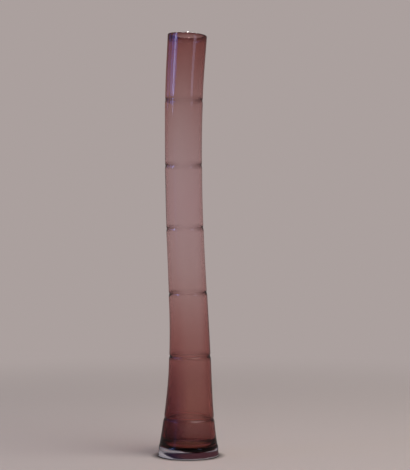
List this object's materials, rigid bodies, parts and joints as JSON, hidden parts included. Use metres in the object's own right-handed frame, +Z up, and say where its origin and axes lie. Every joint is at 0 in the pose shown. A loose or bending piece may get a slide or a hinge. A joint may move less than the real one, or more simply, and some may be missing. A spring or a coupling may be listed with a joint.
{
  "type": "vase",
  "caption": "Tall slim bowed vase of plum cased glass, with shallow turned rings, a flared base and a thick clear foot; holds a stem or a few long stems.",
  "frame": {"origin": "middle of the foot's flat underside, on the surface that the vase stands on", "axes": "+Z up towards the rim; the vase bows in the XZ plane, and -Y faces the viewer of the picture"},
  "size_m": [0.0718, 0.0718, 0.5013],
  "materials": {
    "clear_glass": "fire-polished clear glass",
    "amethyst_glass": "transparent plum glass, deepest at the foot and the rim"
  },
  "bodies": {
    "root": {"clear_foot": "clear_glass", "clear_casing": "clear_glass", "amethyst_lining": "amethyst_glass"}
  },
  "joints": []
}
